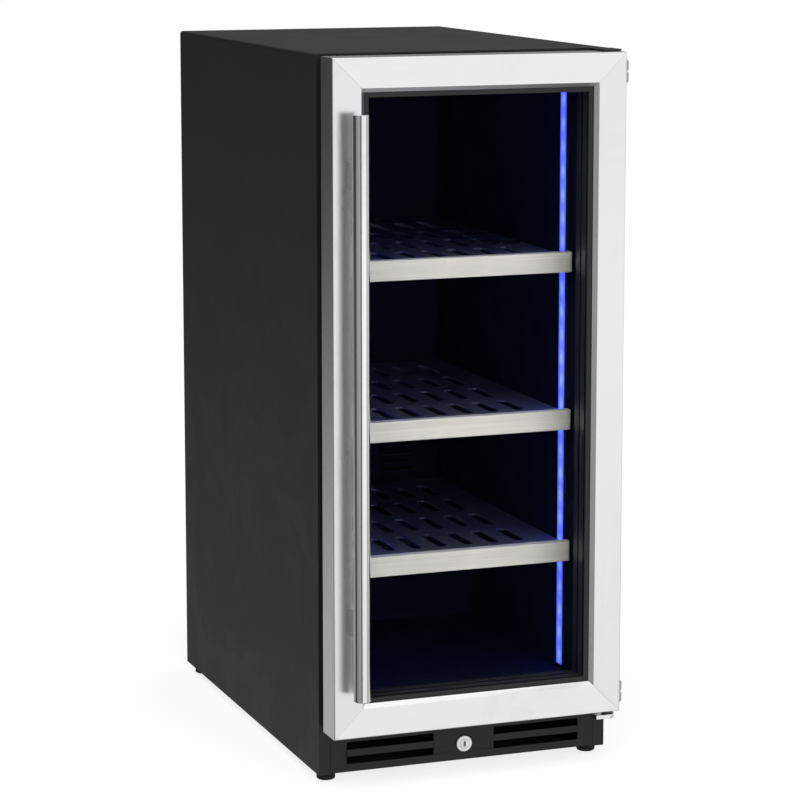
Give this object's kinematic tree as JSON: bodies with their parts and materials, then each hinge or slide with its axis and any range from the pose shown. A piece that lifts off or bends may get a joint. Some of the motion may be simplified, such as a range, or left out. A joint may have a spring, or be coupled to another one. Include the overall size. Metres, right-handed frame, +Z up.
{
  "type": "wine cooler",
  "caption": "Under-counter wine cooler: black cabinet, framed glass door hinged on the right, tubular handle, steel-fronted display shelves, lit cavity and vented kick plate with a lock.",
  "frame": {"origin": "on the floor, under the middle of the whole appliance's box, door and handle included", "axes": "+Z up, -Y the front with the door, +X the viewer's right, the hinge side"},
  "size_m": [0.379, 0.6504, 0.878],
  "materials": {
    "black_enamel": "satin",
    "galvanised_steel": "satin",
    "stainless": "satin",
    "handle_steel": "polished",
    "bright_chrome": "polished",
    "black_plastic": "matte",
    "liner_plastic": "matte",
    "clear_glass": "gloss",
    "seal_rubber": "matte",
    "foot_rubber": "matte",
    "foam": "matte",
    "led_lens": "gloss",
    "shelf_enamel": "satin",
    "coil_aluminium": "satin",
    "compressor_enamel": "gloss",
    "panel_black": "gloss",
    "circuit_green": "gloss",
    "spacer_black": "matte",
    "bush_acetal": "matte",
    "tray_plastic": "matte"
  },
  "bodies": {
    "cabinet": {"base_pan": "galvanised_steel", "breaker_frame": "black_plastic", "compressor": "compressor_enamel", "compressor_grommets": "foot_rubber", "condenser_coil": "coil_aluminium", "condenser_fan_frame": "black_plastic", "control_board": "circuit_green", "control_housing": "black_plastic", "cord_gland": "black_plastic", "deck_plate": "galvanised_steel", "drip_tray": "tray_plastic", "evaporator_coil": "coil_aluminium", "evaporator_cover": "liner_plastic", "evaporator_fan_frame": "black_plastic", "hinge_pins": "bright_chrome", "hinge_screws": "bright_chrome", "inner_liner": "liner_plastic", "insulation_foam": "foam", "kick_plate": "black_enamel", "led_channels": "coil_aluminium", "led_diffusers": "led_lens", "lock_body": "bright_chrome", "lower_hinge_bracket": "stainless", "outer_wrapper": "black_enamel", "panel_screws": "galvanised_steel", "rear_cover": "black_enamel", "rear_panel": "black_enamel", "shelf_panel_bottom": "shelf_enamel", "shelf_panel_middle": "shelf_enamel", "shelf_panel_top": "shelf_enamel", "shelf_pins": "black_plastic", "shelf_trim_bottom": "stainless", "shelf_trim_middle": "stainless", "shelf_trim_top": "stainless", "thermostat_sensor": "tray_plastic", "touch_panel": "panel_black", "upper_hinge_bracket": "black_enamel"},
    "door": {"door_stile_left": "stainless", "door_stile_right": "stainless", "door_rail_top": "stainless", "door_rail_bottom": "stainless", "door_core": "black_plastic", "door_outer_glass": "clear_glass", "door_inner_glass": "clear_glass", "glass_spacer": "spacer_black", "door_gasket": "seal_rubber", "handle_tube": "handle_steel", "handle_end_caps": "handle_steel", "handle_posts": "handle_steel", "side_knuckles": "stainless", "hinge_bushes": "bush_acetal", "lock_strike": "galvanised_steel"},
    "lock_plug": {"lock_cylinder": "bright_chrome", "lock_cam": "galvanised_steel"},
    "foot_front_left": {"foot_front_left": "foot_rubber"},
    "foot_front_right": {"foot_front_right": "foot_rubber"},
    "foot_rear_left": {"foot_rear_left": "foot_rubber"},
    "foot_rear_right": {"foot_rear_right": "foot_rubber"},
    "evaporator_fan": {"evaporator_fan_blades": "tray_plastic"},
    "condenser_fan": {"condenser_fan_blades": "tray_plastic"}
  },
  "joints": [
    {"name": "door_hinge", "type": "hinge", "parent": "cabinet", "child": "door", "pos_m": [0.176, -0.26975, 0.06], "axis": [0, 0, 1], "range_deg": [0, 110]},
    {"name": "lock_turn", "type": "hinge", "parent": "cabinet", "child": "lock_plug", "pos_m": [-0.002, -0.23975, 0.0315], "axis": [0, -1, 0], "range_deg": [0, 90]},
    {"name": "foot_front_left_screw", "type": "slide", "parent": "cabinet", "child": "foot_front_left", "axis": [0, 0, -1], "range_m": [0, 0.012]},
    {"name": "foot_front_right_screw", "type": "slide", "parent": "cabinet", "child": "foot_front_right", "axis": [0, 0, -1], "range_m": [0, 0.012]},
    {"name": "foot_rear_left_screw", "type": "slide", "parent": "cabinet", "child": "foot_rear_left", "axis": [0, 0, -1], "range_m": [0, 0.012]},
    {"name": "foot_rear_right_screw", "type": "slide", "parent": "cabinet", "child": "foot_rear_right", "axis": [0, 0, -1], "range_m": [0, 0.012]},
    {"name": "evaporator_fan_spin", "type": "hinge", "parent": "cabinet", "child": "evaporator_fan", "pos_m": [-0.002, 0.25625, 0.745], "axis": [0, -1, 0], "continuous": true},
    {"name": "condenser_fan_spin", "type": "hinge", "parent": "cabinet", "child": "condenser_fan", "pos_m": [-0.107, 0.18275, 0.0752], "axis": [0, -1, 0], "continuous": true}
  ]
}
